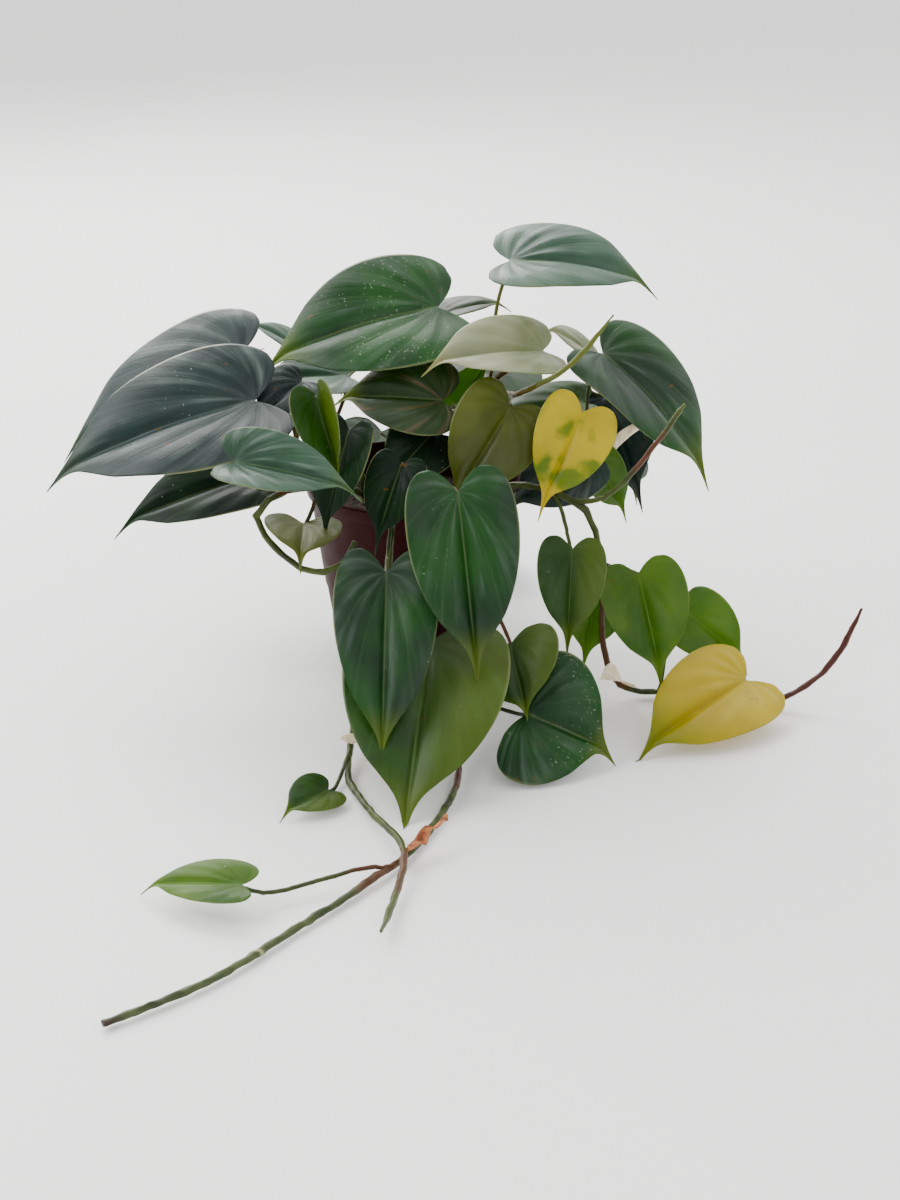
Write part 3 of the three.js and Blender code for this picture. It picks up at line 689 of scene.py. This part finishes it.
for node in nodes_named("leaf_"):
    blade = bare_copy(node)
    seat, tip, normal = face_only(blade)
    refine(blade, seat, tip, normal, 0.0005, drip=short_tips.get(node, usual_drip))
    look = look_of.get(node, "deep")
    under = undersides[under_of.get(look, "green")]
    margin = margins["brown" if node in brown_edged else "green"]
    for material in (faces[look], under, margin):
        blade.data.materials.append(material)
    finish_piece(blade, node.replace("leaf", "blade"), node)


# ---- Dry papery sheaths ----
# Shed bracts, cream and fibrous, still hanging on the vines' nodes: thin as paper, curled.
bract, tree, shader = new_material("dry_bract")
fibre = noise_at(tree, 500, 4, (1, 1, 0.25))
cream = blend(tree, ramp(tree, fibre, 0.35, 0.65), "#cdb98f", "#efe4cb")
stains = maths(tree, "MULTIPLY", ramp(tree, noise_at(tree, 160, 3), 0.60, 0.72), 0.6)
tree.links.new(blend(tree, stains, cream, "#8c6538"), shader.inputs["Base Color"])
shader.inputs["Roughness"].default_value = 0.75
bump(tree, shader, fibre, 0.0003)
bract_growth = 1.5
for node in nodes_named("sheath_"):
    sheath = bare_copy(node)
    seat, tip, normal = face_only(sheath)
    for vertex in sheath.data.vertices:
        vertex.co = seat + (vertex.co - seat) * bract_growth
    tip = seat + (tip - seat) * bract_growth
    refine(sheath, seat, tip, normal, 0.0003, relief=0.6, drip=0.0)
    sheath.data.materials.append(bract)
    finish_piece(sheath, node.replace("sheath", "bract"), node)


# ---- Dried curl and roots ----
# A shrivelled bract, twisted and orange-brown, one end of it against the front shoot near where
# the two front vines cross, and a few short dry aerial roots, thin as thread, at the left vine's
# outermost node.
withered, tree, shader = new_material("withered_bract")
fibre = noise_at(tree, 420, 4, (0.3, 1, 1))
tree.links.new(blend(tree, ramp(tree, fibre, 0.35, 0.65), "#6e3210", "#b87038"), shader.inputs["Base Color"])
shader.inputs["Roughness"].default_value = 0.7
bump(tree, shader, fibre, 0.0004)
shoot_tree = vertex_tree(["vine_front_shoot"])
crossing = min((v.co.copy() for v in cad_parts["vine_front"].data.vertices),
               key=lambda c: shoot_tree.find(c)[2])
curl_x, curl_y, curl_z = 0.0125, 0.0105, 0.0065
half_length, half_width, rise = 0.011, 0.0034, 0.004
bpy.ops.mesh.primitive_grid_add(x_subdivisions=60, y_subdivisions=10, size=2)
curl = bpy.context.object
for vertex in curl.data.vertices:
    along, across = vertex.co.x, vertex.co.y
    twist = 1.2 + along * 2.6
    width = half_width * (1 - along * along) ** 0.5 + 0.0004 * noise.noise(Vector((along * 4, across, 0)))
    ruffle = 0.0012 * math.sin(along * 9 + across * 1.5)
    vertex.co = crossing + Vector((
        curl_x + along * half_length - across * width * 0.6 * math.cos(twist),
        curl_y + along * half_length + across * width * 0.8 * math.cos(twist),
        curl_z + across * width * math.sin(twist) + ruffle + rise * along))
apply_modifier(curl, "SOLIDIFY", thickness=0.0003, offset=0)
bpy.ops.object.shade_smooth()
curl.data.materials.append(withered)
finish_piece(curl, "dried_curl")

outermost = min((v.co.copy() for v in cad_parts["vine_left"].data.vertices), key=lambda c: c.x)
random.seed(5)
root_count = 5
roots = []
for i in range(root_count):
    bpy.ops.curve.primitive_bezier_curve_add()
    root = bpy.context.object
    root.data.bevel_depth = 0.00045
    root.data.bevel_resolution = 3
    root.data.resolution_u = 12
    first, last = root.data.splines[0].bezier_points
    start = outermost + Vector((0.0022, 0, random.uniform(-0.002, 0.002)))
    end = start + Vector((random.uniform(0.004, 0.014), random.uniform(-0.006, 0.004),
                          random.uniform(-0.008, 0.004)))
    first.co, last.co = start, end
    first.handle_right = start + Vector((0.001, -0.005, random.uniform(-0.004, 0.004)))
    first.handle_left = start * 2 - first.handle_right
    last.handle_left = end + Vector((random.uniform(-0.004, 0.004), -0.003, 0.004))
    last.handle_right = end * 2 - last.handle_left
    last.radius = 0.35
    root.location = (0, 0, 0)
    bpy.ops.object.convert(target="MESH")
    roots.append(bpy.context.object)
for root in roots:
    root.select_set(True)
bpy.ops.object.join()
tendrils = bpy.context.object
bpy.ops.object.shade_smooth()
tendrils.data.materials.append(withered)
finish_piece(tendrils, "aerial_roots")


# ---- Floor, light and camera ----
# A plain pale table top, a broad window behind and to the left, a soft fill from the front, a
# smaller light from the left, and a camera looking down on the trailing side from in front.
bpy.ops.mesh.primitive_plane_add(size=14, location=(0, 0, -0.0002))
floor = bpy.context.object
floor.name = "floor"
paint, tree, shader = new_material("pale_table_paint")
tree.links.new(blend(tree, noise_at(tree, 3, 2), "#f1f0ee", "#f6f5f3"), shader.inputs["Base Color"])
shader.inputs["Roughness"].default_value = 0.7
floor.data.materials.append(paint)

world = bpy.data.worlds.new("soft_daylight")
world.use_nodes = True
tree = world.node_tree
behind = add(tree, "SeparateXYZ", {"Vector": add(tree, "TexCoord").outputs["Generated"]}).outputs["Y"]
tree.links.new(ramp(tree, behind, -0.6, 0.9, 0.55, 2.9), tree.nodes["Background"].inputs["Strength"])
tree.nodes["Background"].inputs["Color"].default_value = (1.0, 1.0, 1.0, 1)
bpy.context.scene.world = world


def area_light(name, place, target, size, power, colour=(1, 1, 1)):
    """A soft square light aimed at a point."""
    bpy.ops.object.light_add(type="AREA", location=place)
    lamp = bpy.context.object
    lamp.name = name
    lamp.data.size = size
    lamp.data.energy = power
    lamp.data.color = colour
    lamp.rotation_euler = (Vector(target) - Vector(place)).to_track_quat("-Z", "Y").to_euler()


area_light("window", (-0.6, 1.2, 1.3), (0, 0, 0.12), 1.2, 48, (1.0, 0.99, 0.97))
area_light("front_fill", (0.5, -1.4, 1.1), (0, 0, 0.10), 1.2, 9)
area_light("top_left", (-1.1, -0.3, 1.1), (-0.05, 0, 0.15), 0.8, 14)

elevation = math.radians(24)
target = Vector((0.021, 0.0, 0.035))
distance = 1.10
back = Vector((0, -math.cos(elevation), math.sin(elevation)))
bpy.ops.object.camera_add(location=target + back * distance)
camera = bpy.context.object
camera.rotation_euler = (-back).to_track_quat("-Z", "Y").to_euler()
camera.data.lens = 55
camera.data.sensor_width = 36
bpy.context.scene.camera = camera
